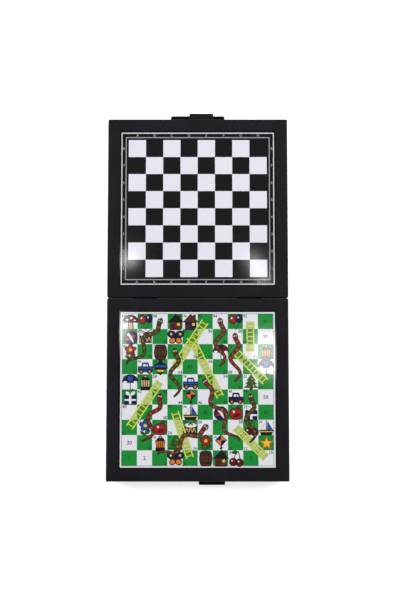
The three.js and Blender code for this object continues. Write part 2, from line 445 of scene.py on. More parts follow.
def cut(layers):
    """Points and triangles of the plane, with the last layer and the last ink over each triangle."""
    sizes = [len(outline) for outline, _ in layers]
    points = np.concatenate([outline for outline, _ in layers])
    loops = [list(range(end - size, end)) for size, end in zip(sizes, np.cumsum(sizes))]
    flat, _, faces, _, _, owners = delaunay_2d_cdt(
        [Vector(p) for p in points], [], loops, KEEP_INSIDE, JOIN_DISTANCE, True)
    veils = {index for index, (_, ink) in enumerate(layers) if ink == VEIL}
    last = np.fromiter(map(max, owners), int, len(owners))
    last_ink = np.fromiter((max(set(own) - veils) for own in owners), int, len(owners))
    return np.array(flat), np.array(faces, int), last, last_ink


def closed_slab(name, flat, triangles, low, high):
    """A mesh in the box low to high: the cut top, four walls down from its corners and a base."""
    centre = (np.array(low) + np.array(high))[:2] / 2
    rim = np.array([np.argmin(flat @ d) for d in corners((1, 1), (-1, 1), (-1, -1), (1, -1))])
    top = np.column_stack([flat * MM + centre, np.full(len(flat), high.z)])
    base = top[rim] - (0, 0, high.z - low.z)
    foot = len(top) + np.arange(4)
    walls = np.stack([np.roll(rim, -1), rim, foot, np.roll(foot, -1)], 1)
    mesh = bpy.data.meshes.new(name)
    mesh.from_pydata(np.vstack([top, base]).tolist(), [],
                     triangles.tolist() + walls.tolist() + [foot[::-1].tolist()])
    mesh.update()
    return mesh


print("points within", JOIN_DISTANCE, "mm of each other are joined in the cut")


# %% [markdown]
# Each ink could be a material. Colours stored on the faces, as an attribute that one material
# reads, keep each sheet a single piece with a single finish.

# %% A printed sheet from layers of ink
VEIL_FILTER = np.array([0.66, 0.68, 0.35, 1.0])
VEIL_BODY = np.array([0.05, 0.06, 0.0, 0.0])


def printed_sheet(name, node, layers, inks, material, body):
    """A closed slab in the node's own box, whose faces carry the colours of its inks.

    layers is a list of (outline in mm about the sheet's middle, ink name), in printing order.
    Under the veil, colour = the last ink there * VEIL_FILTER + VEIL_BODY. The walls and the base
    take the first ink.
    """
    low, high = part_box(node)
    layers = [(anticlockwise(outline), ink) for outline, ink in layers]
    flat, triangles, last, last_ink = cut(layers)
    mesh = closed_slab(name, flat, triangles, low, high)
    names = list(inks)
    table = np.array([linear(*inks[n]) for n in names])
    ink_of_layer = np.array([0 if ink == VEIL else names.index(ink) for _, ink in layers])
    plain_faces = len(mesh.polygons) - len(triangles)
    colour = np.vstack([table[ink_of_layer[last_ink]], np.tile(table[0], (plain_faces, 1))])
    veiled = np.flatnonzero(last != last_ink)
    colour[veiled] = colour[veiled] * VEIL_FILTER + VEIL_BODY
    attribute = mesh.attributes.new("ink", "FLOAT_COLOR", "FACE")
    attribute.data.foreach_set("color", colour.astype(np.float32).ravel())
    mesh.materials.append(material)
    piece = placed(name, mesh)
    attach(piece, body)
    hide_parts(node)
    print(name, len(layers), "outlines,", len(triangles), "triangles")


print("the veil passes", VEIL_FILTER[:3], "of red, green and blue")


# %% [markdown]
# ## Gloss laminate over ink
#
# Both prints lie under a clear film. Ink colour comes from the faces, broken up a very little, as
# offset printing on coated paper is. The film is a clear coat: smooth, but not quite flat, because
# the sheet is glued down by hand, so the reflections of the lamps waver.

# %% Laminate finish
MOTTLE_SCALE = 900
MOTTLE = (0.93, 1.04)
WAVER_SCALE = 38
WAVER_DEPTH = 0.03 * MM


def gloss_laminate(name):
    """Ink times mottle under a clear coat, whose normal follows a slow noise."""
    finish = Finish(name, Roughness=0.5, Specular_IOR_Level=0.1, Coat_Weight=1.0,
                    Coat_Roughness=0.07)
    ink = finish.node("ShaderNodeAttribute", {"attribute_name": "ink"}).outputs["Color"]
    mottle = finish.between(finish.noise(MOTTLE_SCALE, 3, 0.6), *MOTTLE)
    tinted = finish.node("ShaderNodeVectorMath", {"operation": "SCALE"}, Scale=mottle)
    finish.tree.links.new(ink, tinted.inputs[0])
    finish.link(tinted.outputs[0], "Base Color")
    waver = finish.bump(finish.noise(WAVER_SCALE, 1, 0.4), WAVER_DEPTH)
    finish.link(waver, "Coat Normal")
    return finish.material


chess_laminate = gloss_laminate("chess_laminate")
snakes_laminate = gloss_laminate("snakes_laminate")
print("laminates:", chess_laminate.name, snakes_laminate.name)


# %% [markdown]
# ## The chessboard
#
# From the outside in: a white line at the sheet's edge, a black band with small file letters and
# rank numbers, a grey line, a thin black band and 64 squares of 12.5 mm. Painting them as nested
# squares, each over the last, needs no frame shapes with holes in them. The print sits a third of
# a millimetre towards the seam on its sheet.

# %% Chess print
sheet_low, sheet_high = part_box("chess_print_sheet")
SHEET = (sheet_high.x - sheet_low.x) / MM
PRINT_MARGIN = 0.02
CHESS_SQUARE = 12.5
CHESS_SHIFT = -0.35
CHESS_FRAMES = (
    (110.5, 110.95, "line_white"),
    (109.2, 109.5, "black"),
    (104.3, 104.3, "frame_grey"),
    (103.1, 103.1, "black"),
)
BAND_OUTER = 109.4
BAND_INNER = 104.4
MARK_BAND = (BAND_OUTER + BAND_INNER) / 4
MARK_HEIGHT = 2.0
chess_inks = {
    "line_white": (236, 236, 244),
    "black": (12, 12, 14),
    "frame_grey": (176, 176, 184),
    "white": (244, 243, 255),
    "mark": (178, 178, 184),
}


def chess_layers():
    """Nested frames, the white squares and the marks, on a black sheet."""
    layers = [(block(0, 0, width, height), ink) for width, height, ink in CHESS_FRAMES]
    steps = (np.arange(8) - 3.5) * CHESS_SQUARE
    for row, y in enumerate(steps):
        for x in steps[(row + 1) % 2::2]:
            layers.append((block(x, y, CHESS_SQUARE, CHESS_SQUARE), "white"))
    for place, letter, rank in zip(steps, "ABCDEFGH", "12345678"):
        for word, x, y in ((letter, place, -MARK_BAND), (letter, place, MARK_BAND),
                           (rank, -MARK_BAND, place), (rank, MARK_BAND, place)):
            layers += [(t, "mark") for t in lettering(word, MARK_HEIGHT, x, y)]
    sheet = [(block(0, 0, SHEET, SHEET), "black")]
    edge = SHEET / 2 - PRINT_MARGIN
    return sheet + [(np.clip(outline + (0, CHESS_SHIFT), -edge, edge), ink)
                    for outline, ink in layers]


printed_sheet("chess_print", "chess_print_sheet", chess_layers(), chess_inks, chess_laminate,
              "chess_half")

# %% [markdown]
# ## Snakes and ladders: squares
#
# A hundred squares run from 1 at the lower left, turning back at the end of each row. The odd ones
# are green.

# %% Board squares
PAPER = 110.3
BOARD = 107.6
RULE = 0.6
LADDER_SQUARE = BOARD / 10
GREEN_SQUARES = range(1, 101, 2)
snakes_inks = {
    "trim": (22, 22, 24),
    "paper": (242, 242, 249),
    "rule": (58, 84, 66),
    "green": (22, 146, 56),
    "white": (242, 243, 249),
    "number_on_white": (58, 62, 84),
    "number_on_green": (4, 70, 22),
    "contour": (20, 18, 16),
    "rail": (218, 238, 96),
    "rail_edge": (96, 130, 30),
    "rung": (206, 226, 96),
    "rung_edge": (112, 126, 44),
    "snake_brown": (104, 56, 34),
    "snake_olive": (70, 62, 24),
    "snake_red": (118, 34, 26),
    "belly": (150, 100, 60),
    "red": (170, 32, 32),
    "dark_red": (96, 16, 24),
    "blue": (34, 84, 168),
    "navy": (22, 24, 80),
    "orange": (226, 128, 36),
    "yellow": (240, 208, 60),
    "peach": (226, 184, 146),
    "brown": (84, 48, 28),
    "black": (24, 22, 26),
    "leaf": (30, 96, 36),
    "bright": (246, 244, 246),
}


def square_place(number):
    """Column and row of a square's middle, counted from the middle of the board, in mm."""
    row, step = divmod(number - 1, 10)
    column = step if row % 2 == 0 else 9 - step
    return (np.array([column, row]) - 4.5) * LADDER_SQUARE


print(len(snakes_inks), "inks; square 1 at", square_place(1).round(2).tolist(), "mm")


# %% [markdown]
# ## Pictures in the squares
#
# Small toys, fruit and flowers fill four squares in ten. Each could be drawn by hand. Here it is a
# short list of outlines in a square of side 1, with a dark contour behind the main shapes, so that
# it reads at a glance. The plants come first.

# %% Flowers and fruit
CONTOUR = 0.055


def drawn(outline, ink, line=CONTOUR):
    """The shape, over itself grown by the width of its line."""
    return [(grown(outline, line), "contour"), (outline, ink)]


def flower(petal, heart):
    """A stem, two leaves and the polar curve r = 0.25 (1 + 0.26 cos 5t) round a heart."""
    return [
        (strip([(0, -0.46), (0.03, -0.25), (0, 0.05)], 0.035), "leaf"),
        *drawn(leaf(0.0, -0.36, 0.3, -0.14, 0.08), "leaf", 0.02),
        *drawn(leaf(0.0, -0.4, -0.3, -0.2, 0.08), "leaf", 0.02),
        *drawn(petals(0, 0.14, 0.25, 0.26, 5, 0.3), petal),
        *drawn(disc(0, 0.14, 0.1), heart, 0.02),
    ]


def apple(skin, shade):
    """Polar curve r = 0.33 (1 + 0.06 cos 2t - 0.2 dent), the dent a bell curve about the top."""
    t = full_turn(48)
    r = 0.33 * (1 + 0.06 * np.cos(2 * t) - 0.2 * np.exp(-((t - np.pi / 2) / 0.3) ** 2))
    body = np.stack([r * np.cos(t), r * np.sin(t) - 0.06], 1)
    return [
        *drawn(body, skin),
        (leaf(-0.2, -0.25, 0.27, -0.08, -0.12), shade),
        (disc(-0.14, 0.06, 0.05, 0.08, 0.4), "bright"),
        (strip([(0.0, 0.18), (0.02, 0.3), (0.08, 0.42)], 0.03), "brown"),
        *drawn(leaf(0.05, 0.28, 0.33, 0.4, 0.08), "leaf", 0.02),
    ]


def cherries(skin):
    """Two discs on stalks that meet at a leaf."""
    return [
        (strip([(-0.17, -0.1), (-0.06, 0.2), (0.12, 0.42)], 0.025), "brown"),
        (strip([(0.2, -0.16), (0.2, 0.15), (0.12, 0.42)], 0.025), "brown"),
        *drawn(disc(-0.18, -0.2, 0.19), skin),
        *drawn(disc(0.2, -0.24, 0.19), skin),
        (disc(-0.24, -0.13, 0.045), "bright"),
        (disc(0.14, -0.17, 0.045), "bright"),
        *drawn(leaf(0.1, 0.4, -0.28, 0.34, 0.09), "leaf", 0.02),
    ]


def mushroom(cap):
    """Half an ellipse over a tapered stem, with three spots."""
    t = np.linspace(0, np.pi, 20)
    dome = np.stack([0.42 * np.cos(t), 0.02 + 0.36 * np.sin(t)], 1)
    return [
        *drawn(corners((-0.13, -0.42), (0.13, -0.42), (0.1, 0.06), (-0.1, 0.06)), "peach"),
        *drawn(dome, cap),
        (disc(-0.2, 0.14, 0.07, 0.06), "bright"),
        (disc(0.04, 0.24, 0.08, 0.07), "bright"),
        (disc(0.24, 0.11, 0.06, 0.05), "bright"),
    ]


print("plants:", [f.__name__ for f in (flower, apple, cherries, mushroom)])


# %% [markdown]
# Next, what flies and rolls. A second colour over part of a shape gives it its panels.

# %% Toys in two colours
def kite(one, two):
    """A diamond in four panels, and a tail that is a sine wave growing along its length."""
    wave = np.linspace(0, 1, 14)
    tail = np.stack([0.02 + 0.09 * np.sin(9 * wave) * wave, -0.12 - 0.36 * wave], 1)
    return [
        (strip(tail, 0.022), "contour"),
        *drawn(corners((0, -0.16), (0.3, 0.18), (0, 0.46), (-0.3, 0.18)), one),
        (corners((0, -0.16), (0.3, 0.18), (0, 0.18)), two),
        (corners((0, 0.46), (-0.3, 0.18), (0, 0.18)), two),
        *drawn(leaf(-0.08, -0.3, 0.1, -0.26, 0.05), two, 0.015),
    ]


def balloons(one, two):
    """Two ellipses on strings that meet below."""
    return [
        (strip([(-0.18, 0.0), (-0.1, -0.25), (0, -0.46)], 0.016), "contour"),
        (strip([(0.2, 0.05), (0.12, -0.2), (0, -0.46)], 0.016), "contour"),
        *drawn(disc(-0.18, 0.16, 0.19, 0.23), one),
        *drawn(disc(0.2, 0.2, 0.17, 0.21), two),
        (disc(-0.25, 0.24, 0.045, 0.07, -0.4), "bright"),
        (disc(0.14, 0.28, 0.04, 0.06, -0.4), "bright"),
    ]


def ball(one, two):
    """A disc crossed by two pointed bands, with a highlight."""
    return [
        *drawn(disc(0, -0.04, 0.37), one),
        (leaf(-0.34, -0.17, 0.34, 0.1, 0.11), two),
        (leaf(-0.16, 0.28, 0.2, -0.36, 0.07), "bright"),
        (disc(-0.13, 0.12, 0.06, 0.09, 0.6), "bright"),
    ]


def umbrella(one, two):
    """Half an ellipse with a pointed panel, and half a circle as a crook."""
    t = np.linspace(0, np.pi, 24)
    dome = np.stack([0.43 * np.cos(t), 0.02 + 0.4 * np.sin(t)], 1)
    hook = np.linspace(0, np.pi, 8)
    crook = np.stack([0.08 - 0.08 * np.cos(hook), -0.36 - 0.08 * np.sin(hook)], 1)
    return [
        (strip([(0, 0.4), (0, 0.0), (0, -0.36)], 0.024), "contour"),
        (strip(crook, 0.026), "contour"),
        *drawn(dome, one),
        (leaf(-0.02, 0.02, 0.0, 0.42, 0.16), two),
        (disc(-0.3, 0.02, 0.11, 0.06), "bright"),
        (disc(0.3, 0.02, 0.11, 0.06), "bright"),
    ]


print("toys in two colours:", [f.__name__ for f in (kite, balloons, ball, umbrella)])


# %% [markdown]
# These are built up from polygons and bands, as paper cut-outs are.

# %% Boat, drum, spinning top and butterfly
def boat(hull, sail):
    """A tapered hull and two triangles beside a mast."""
    return [
        (strip([(0, -0.16), (0, 0.14), (0, 0.46)], 0.022), "contour"),
        *drawn(corners((0.05, -0.1), (0.36, -0.1), (0.05, 0.4)), sail, 0.022),
        *drawn(corners((-0.05, -0.1), (-0.05, 0.32), (-0.3, -0.1)), "bright", 0.022),
        *drawn(corners((-0.3, -0.38), (0.28, -0.38), (0.43, -0.16), (-0.43, -0.16)), hull),
        (block(0, -0.21, 0.74, 0.05), "yellow"),
    ]


def drum(shell, band):
    """A rectangle under an ellipse, with zigzag cords and two sticks."""
    return [
        *drawn(corners((-0.34, -0.3), (0.34, -0.3), (0.34, 0.14), (-0.34, 0.14)), shell),
        *drawn(disc(0, 0.16, 0.35, 0.13), "bright", 0.025),
        *[(strip([(x, -0.26), (x + 0.09, 0.0)], 0.02), band) for x in (-0.32, -0.11, 0.1)],
        *[(strip([(x, 0.0), (x + 0.09, -0.26)], 0.02), band) for x in (-0.21, 0.0, 0.21)],
        (strip([(-0.1, 0.2), (0.38, 0.46)], 0.025), "brown"),
        (strip([(0.1, 0.2), (-0.38, 0.46)], 0.025), "brown"),
        (disc(-0.1, 0.2, 0.05), "brown"),
        (disc(0.1, 0.2, 0.05), "brown"),
    ]


def spinning_top(one, two):
    """Half an outline and its mirror image, with two bands."""
    half = corners((0, -0.44), (0.12, -0.3), (0.38, 0.02), (0.3, 0.16), (0.08, 0.24), (0.05, 0.44))
    body = np.concatenate([half, half[::-1][:-1] * (-1, 1)])
    return [
        *drawn(body, one),
        (corners((-0.37, 0.0), (0.37, 0.0), (0.3, 0.13), (-0.3, 0.13)), two),
        (corners((-0.24, -0.16), (0.24, -0.16), (0.15, -0.27), (-0.15, -0.27)), "yellow"),
    ]


def butterfly(one, two):
    """Two tilted ellipses on each side of a thin one."""
    wings = []
    for side in (-1, 1):
        wings += drawn(disc(side * 0.24, 0.16, 0.22, 0.17, side * 0.5), one)
        wings += drawn(disc(side * 0.18, -0.2, 0.16, 0.13, -side * 0.6), two)
        wings += [(disc(side * 0.27, 0.18, 0.07), "yellow")]
        wings += [(strip([(0, 0.2), (side * 0.12, 0.42)], 0.014), "contour")]
    return wings + [(disc(0, -0.02, 0.05, 0.28), "black")]


print("cut-outs:", [f.__name__ for f in (boat, drum, spinning_top, butterfly)])


# %% [markdown]
# Boxy things are a few rectangles, with small parts such as windows and wheels on top.

# %% Parcel, house, car and fir tree
def parcel(paper, ribbon):
    """A rectangle with two crossed bands and a bow of two leaves."""
    return [
        *drawn(block(0, -0.14, 0.66, 0.5), paper),
        (block(0, -0.14, 0.13, 0.5), ribbon),
        (block(0, -0.14, 0.66, 0.1), ribbon),
        *drawn(leaf(0, 0.12, -0.3, 0.36, 0.1), ribbon, 0.022),
        *drawn(leaf(0, 0.12, 0.3, 0.36, 0.1), ribbon, 0.022),
    ]


def house(walls, roof):
    """A rectangle under a triangle, with a chimney, a door and a window."""
    return [
        *drawn(block(0, -0.2, 0.62, 0.46), walls),
        *drawn(block(0.22, 0.3, 0.12, 0.26), "brown", 0.025),
        *drawn(corners((-0.46, 0.02), (0.46, 0.02), (0, 0.44)), roof),
        *drawn(block(-0.14, -0.27, 0.18, 0.3), "dark_red", 0.02),
        *drawn(block(0.16, -0.14, 0.16, 0.16), "yellow", 0.02),
    ]


def car(paint):
    """A tapered cabin on a long rectangle, with two windows and two wheels."""
    cabin = corners((-0.24, -0.02), (0.26, -0.02), (0.14, 0.24), (-0.16, 0.24))
    return [
        *drawn(cabin, paint),
        (corners((-0.16, 0.0), (0.02, 0.0), (0.02, 0.18), (-0.12, 0.18)), "bright"),
        (corners((0.06, 0.0), (0.18, 0.0), (0.11, 0.18), (0.06, 0.18)), "bright"),
        *drawn(block(0, -0.12, 0.88, 0.24), paint),
        (block(0, -0.13, 0.88, 0.05), "black"),
        *[(disc(x, -0.25, radius), ink) for x in (-0.25, 0.25)
          for radius, ink in ((0.15, "black"), (0.07, "orange"))],
    ]


def fir_tree(needles):
    """Three triangles, one over another, with four round ornaments."""
    tiers = [(-0.3, 0.42, 0.36), (-0.08, 0.34, 0.32), (0.12, 0.25, 0.34)]
    return [
        *drawn(block(0, -0.36, 0.14, 0.2), "brown", 0.025),
        *[layer for y, half, rise in tiers for layer in
          drawn(corners((-half, y), (half, y), (0, y + rise)), needles, 0.035)],
        *[(disc(x, y, 0.045), ink) for x, y, ink in
          ((-0.18, -0.22, "red"), (0.14, -0.2, "yellow"), (0.02, 0.0, "red"), (0.07, 0.2, "orange"))],
    ]


print("boxy things:", [f.__name__ for f in (parcel, house, car, fir_tree)])


# %% [markdown]
# The last three, and then the set: some pictures come twice, in other colours.

# %% Lantern, barrel, star and the whole set
def lantern(body, glow):
    """A tapered pane with three bars between a roof and a foot, and a ring on top."""
    return [
        (disc(0, 0.33, 0.11, points=60), "contour"),
        (disc(0, 0.33, 0.06), "peach"),
        *drawn(corners((-0.16, 0.26), (0.16, 0.26), (0.3, 0.12), (-0.3, 0.12)), body),
        *drawn(corners((-0.26, 0.12), (0.26, 0.12), (0.2, -0.32), (-0.2, -0.32)), glow),
        *[(strip([(x, 0.12), (0.78 * x, -0.32)], 0.025), body) for x in (-0.14, 0.0, 0.14)],
        *drawn(block(0, -0.36, 0.54, 0.12), body),
    ]


def barrel(staves, hoops):
    """Half width 0.34 - 0.55 t^2 at height t, with staves and hoops."""
    t = np.linspace(-0.4, 0.4, 12)
    bulge = 0.34 - 0.55 * t ** 2
    body = np.concatenate([np.stack([bulge, t], 1), np.stack([-bulge, t], 1)[::-1]])
    return [
        *drawn(body, staves),
        *[(strip([(x, -0.38), (1.15 * x, 0.0), (x, 0.38)], 0.014), "contour")
          for x in (-0.15, 0.0, 0.15)],
        *[(block(0, y, 0.6, 0.08), hoops) for y in (-0.26, 0.26)],
    ]


def gold_star():
    """A star of five points on a larger one."""
    return [
        *drawn(star(0, 0, 0.44, 0.19, 5), "orange", 0.035),
        (star(0, 0, 0.3, 0.13, 5), "yellow"),
    ]


pictures = [
    apple("red", "dark_red"), umbrella("navy", "blue"), house("brown", "black"),
    ball("navy", "red"), lantern("black", "orange"), cherries("dark_red"),
    kite("orange", "navy"), drum("navy", "yellow"), car("blue"),
    balloons("red", "navy"), boat("black", "blue"), butterfly("navy", "orange"),
    parcel("navy", "bright"), barrel("brown", "black"), flower("red", "yellow"),
    fir_tree("leaf"), spinning_top("black", "blue"), mushroom("dark_red"),
    umbrella("dark_red", "black"), gold_star(), car("navy"), flower("blue", "yellow"),
    lantern("black", "peach"), house("navy", "brown"),
]
print(len(pictures), "pictures drawn")

# %% [markdown]
# ## Ladders
#
# A ladder is two pale rails and a row of rungs between two squares, printed in see-through yellow,
# so that it turns the white squares under it cream and the green ones lime. Rails and rungs are
# straight bands, each printed with a darker edge first.

# %% Ladders
LADDERS = ((5, 37), (10, 28), (21, 58), (47, 85), (51, 73), (64, 95), (72, 92))
RAIL_GAP = 2.4
RAIL_HALF = 0.42
RAIL_EDGE_HALF = 0.58
RUNG_PITCH = 3.0
RUNG_HALF = 0.35
RUNG_EDGE_HALF = 0.55
POINTS_ALONG = 44


def from_to(one, two):
    """Two squares' middles, the distance, and unit vectors along and across the line between."""
    a, b = square_place(one), square_place(two)
    length = np.hypot(*(b - a))
    along = (b - a) / length
    return a, b, length, along, np.array([-along[1], along[0]])


def ladder_line(low_square, high_square):
    """Points along the line between two squares, from which others measure their distance."""
    t = np.linspace(0, 1, POINTS_ALONG)[:, None]
    return square_place(low_square) * (1 - t) + square_place(high_square) * t


def ladder(low_square, high_square):
    """Two rails at +-RAIL_GAP from the line between two squares, and rungs every RUNG_PITCH."""
    a, b, length, along, across = from_to(low_square, high_square)
    aside = across * RAIL_GAP
    layers = [(strip([a, b], RAIL_GAP), VEIL)]
    count = int(length // RUNG_PITCH)
    for i in range(count):
        middle = a + along * (length * (i + 0.5) / count)
        rung = [middle - aside, middle + aside]
        layers += [(strip(rung, RUNG_EDGE_HALF), "rung_edge"), (strip(rung, RUNG_HALF), "rung")]
    for side in (-1, 1):
        rail = [a + side * aside, b + side * aside]
        layers += [(strip(rail, RAIL_EDGE_HALF), "rail_edge"), (strip(rail, RAIL_HALF), "rail")]
    return layers


print("outlines in each ladder:", [len(ladder(*ends)) for ends in LADDERS])

# %% [markdown]
# ## Snakes
#
# A snake is a band whose path is the line between its squares plus a sine wave, so it swings to
# both sides, and whose width tapers to the tail. The wave grows over the first quarter, which
# keeps the head in its square. Pale marks on the back and a head with a tongue and two eyes follow.

# %% Snakes
SNAKES = (
    (98, 61, "snake_olive"),
    (94, 67, "snake_brown"),
    (88, 53, "snake_red"),
    (77, 44, "snake_olive"),
    (55, 13, "snake_brown"),
    (49, 12, "snake_olive"),
    (43, 19, "snake_red"),
    (26, 3, "snake_brown"),
)
SWING = 3.4
WAVE_LENGTH = 21
BODY_HALF = 1.35
TAPER = 0.35
BODY_CONTOUR = 0.4
HEAD_CONTOUR = 0.32
MARK_SHARE = 0.62
MARK_POINTS = range(4, 40, 4)


def snake_path(head_square, tail_square):
    """The line between two squares + SWING sin(2 pi distance / WAVE_LENGTH) across it."""
    a, b, length, _, across = from_to(head_square, tail_square)
    t = np.linspace(0, 1, POINTS_ALONG)[:, None]
    swing = SWING * np.sin(t * length / WAVE_LENGTH * 2 * np.pi) * np.clip(4 * t, 0, 1)
    return a + t * (b - a) + swing * across


def snake_head(nose, heading, skin):
    """A tongue, an ellipse and two eyes, set out along the heading (an angle) and beside it."""
    look = np.array([math.cos(heading), math.sin(heading)])
    side = np.array([-look[1], look[0]])
    return [
        (strip([nose + look * 1.6, nose + look * 3.6], 0.16), "red"),
        *drawn(disc(*nose, 2.3, 1.75, heading), skin, HEAD_CONTOUR),
        *[(disc(*(nose + look * ahead + side * aside), radius), ink)
          for ahead, radius, ink in ((0.5, 0.5, "bright"), (0.62, 0.24, "black"))
          for aside in (0.8, -0.8)],
    ]


def snake(head_square, tail_square, skin):
    """A band along the snake's path, with half width BODY_HALF (1 - t)^TAPER, and a head."""
    path = snake_path(head_square, tail_square)
    t = np.linspace(0, 1, POINTS_ALONG)
    half = BODY_HALF * np.clip(1 - t, 0.02, 1) ** TAPER
    layers = [(strip(path, half + BODY_CONTOUR), "contour"), (strip(path, half), skin)]
    layers += [(strip(path[i:i + 2], half[i] * MARK_SHARE), "belly") for i in MARK_POINTS]
    heading = math.atan2(*(path[0] - path[2])[::-1])
    return layers + snake_head(path[0], heading, skin)


print("outlines in each snake:", [len(snake(*ends)) for ends in SNAKES])

# %% [markdown]
# ## Where the pictures and the numbers go
#
# A picture under a ladder or under a snake's head couldn't be read, so those squares stay free. A
# stride of 37 through the hundred squares scatters the pictures over the rest. A number stands in
# the middle of a plain square, in the upper left corner of one with a picture, and in the corner
# farthest from the ladders and snakes where these crowd it.

# %% Free, pictured and crowded squares
UNDER_LADDER = 0.6 * LADDER_SQUARE
NEAR_SNAKE = 0.4 * LADDER_SQUARE
PICTURE_COUNT = 40
FIRST_STEP = 11
STRIDE = 37


def gaps(places, points):
    """Distance from each place to the nearest of the points."""
    return np.linalg.norm(places[:, None] - points, axis=2).min(1)


def crossed(points, reach):
    """Numbers of the squares whose middle lies within reach of one of the points."""
    middles = np.array([square_place(number) for number in range(1, 101)])
    return set((1 + np.flatnonzero(gaps(middles, points) < reach)).tolist())


ladder_lines = np.concatenate([ladder_line(*ends) for ends in LADDERS])
snake_lines = np.concatenate([snake_path(*ends[:2]) for ends in SNAKES])
under_ladders = crossed(ladder_lines, UNDER_LADDER)
busy = under_ladders | {n for ends in SNAKES for n in ends[:2]}
scattered = 1 + (FIRST_STEP + STRIDE * np.arange(100)) % 100
pictured = [n for n in scattered if n not in busy][:PICTURE_COUNT]
crowded = busy | crossed(snake_lines, NEAR_SNAKE)
print(len(under_ladders), "squares under ladders,", len(pictured), "with pictures")

# %% [markdown]
# The print is then laid down as a printer would plan it: paper, rule and squares, the pictures, the
# ladders over them, the snakes over those, and the numbers last.

# %% Snakes-and-ladders print
NUMBER_CORNERS = corners((-3.7, 3.9), (3.7, 3.9), (-3.7, -3.9), (3.7, -3.9))
PICTURE_SCALE = 1.12
PICTURE_SHIFT = (0.4, -0.4)
PICTURED_NUMBER = 1.8
CROWDED_NUMBER = 2.2
PLAIN_NUMBER = 2.6
NUMBER_WEIGHT = 0.02


def number_layers(number):
    """The letters of one square's number, in its place."""
    choices = square_place(number) + NUMBER_CORNERS
    if number in pictured:
        place, height = choices[0], PICTURED_NUMBER
    elif number in crowded:
        free = gaps(choices, np.concatenate([ladder_lines, snake_lines]))
        place, height = choices[np.argmax(free)], CROWDED_NUMBER
    else:
        place, height = square_place(number), PLAIN_NUMBER
    ink = "number_on_green" if number in GREEN_SQUARES else "number_on_white"
    return [(t, ink) for t in lettering(str(number), height, *place, NUMBER_WEIGHT)]


def snakes_layers():
    """Every outline of the board, in printing order."""
    layers = [(block(0, 0, SHEET, SHEET), "trim"),
              (block(0, 0, PAPER, PAPER), "paper"),
              (block(0, 0, BOARD + RULE, BOARD + RULE), "rule")]
    for number in range(1, 101):
        ink = "green" if number in GREEN_SQUARES else "white"
        layers.append((block(*square_place(number), LADDER_SQUARE, LADDER_SQUARE), ink))
    for index, number in enumerate(pictured):
        place = square_place(number) + PICTURE_SHIFT
        picture = pictures[index % len(pictures)]
        layers += [(outline * LADDER_SQUARE * PICTURE_SCALE + place, ink) for outline, ink in picture]
    for ends in LADDERS:
        layers += ladder(*ends)
    for ends in SNAKES:
        layers += snake(*ends)
    for number in range(1, 101):
        layers += number_layers(number)
    return layers


printed_sheet("snakes_print", "snakes_print_sheet", snakes_layers(), snakes_inks, snakes_laminate,
              "snakes_half")


# %% [markdown]
# ## Steel and adhesive
#
# Under each print lie a tinplate sheet, which holds the magnetic pieces, and an adhesive film. Only
# their edges can be seen, in the narrow gap round the sheet. Their CAD boxes have the right shape,
# so they stay and get a material. Rolled steel has a grain along one direction: noise that is
# stretched a hundredfold along X.

# %% Metals and film
STEEL_ROUGHNESS = (0.26, 0.44)
DARK_GRAIN = 0.86
FILM_SCALE = 180


def rolled_steel(name, tone, stretch):
    """Metal whose tone and roughness follow a noise stretched along X."""
    finish = Finish(name, Metallic=1.0, Roughness=0.35)
    grain_place = finish.node("ShaderNodeMapping", Vector=finish.place())
    grain_place.inputs["Scale"].default_value = stretch
    grain = finish.noise(1.0, 4, 0.6, grain_place.outputs["Vector"])
    low = linear(*(np.array(tone) * DARK_GRAIN))
    finish.link(finish.ramp(grain, (0.35, low), (0.65, linear(*tone))), "Base Color")
    finish.link(finish.between(grain, *STEEL_ROUGHNESS), "Roughness")
    return finish.material


def tacky_film(name):
    """A pale film, a little cloudy."""
    finish = Finish(name, Roughness=0.6)
    cloud = finish.noise(FILM_SCALE, 3)
    tint = finish.ramp(cloud, (0.3, linear(206, 200, 182)), (0.7, linear(226, 221, 206)))
    finish.link(tint, "Base Color")
    return finish.material


tinplate = rolled_steel("tinplate", (196, 198, 200), (60, 6000, 6000))
film = tacky_film("adhesive_film")
for game in ("chess", "snakes"):
    for sheet, material in (("_steel_sheet", tinplate), ("_adhesive_sheet", film)):
        materials = frame["nodes"][game + sheet].data.materials
        materials.clear()
        materials.append(material)
        print(game + sheet, "in", material.name)


# %% [markdown]
# ## Hinge pins
#
# A pin is a piece of drawn wire with its ends broken to a small chamfer. It could be a cylinder with
# a bevel. As a lathe shape it needs no modifier: one profile is carried round the pin's own line.

# %% Pins as turned profiles
def turned_along_x(name, profile, y, z, sides):
    """Surface of revolution: (x, y + r cos t, z + r sin t) over the profile's (x, r) points.

    The profile starts and ends on the axis, so the first and last rings close in one point.
    """
    t = full_turn(sides)
    x, r = profile[1:-1].T
    rings = np.stack([
        np.repeat(x, sides),
        y + np.outer(r, np.cos(t)).ravel(),
        z + np.outer(r, np.sin(t)).ravel(),
    ], 1)
    poles = [(profile[0, 0], y, z), (profile[-1, 0], y, z)]
    j = np.arange(sides)
    k = np.roll(j, -1)
    ring = np.arange(len(x) - 1)[:, None] * sides
    quads = np.stack([ring + j, ring + k, ring + sides + k, ring + sides + j], -1)
    last_ring = len(rings) - sides
    caps = np.concatenate([
        np.stack([k, j, np.full(sides, len(rings))], 1),
        np.stack([last_ring + j, last_ring + k, np.full(sides, len(rings) + 1)], 1),
    ])
    mesh = bpy.data.meshes.new(name)
    mesh.from_pydata(np.vstack([rings, poles]).tolist(), [],
                     quads.reshape(-1, 4).tolist() + caps.tolist())
    mesh.shade_smooth()
    mesh.set_sharp_from_angle(angle=SMOOTH_ANGLE)
    return mesh


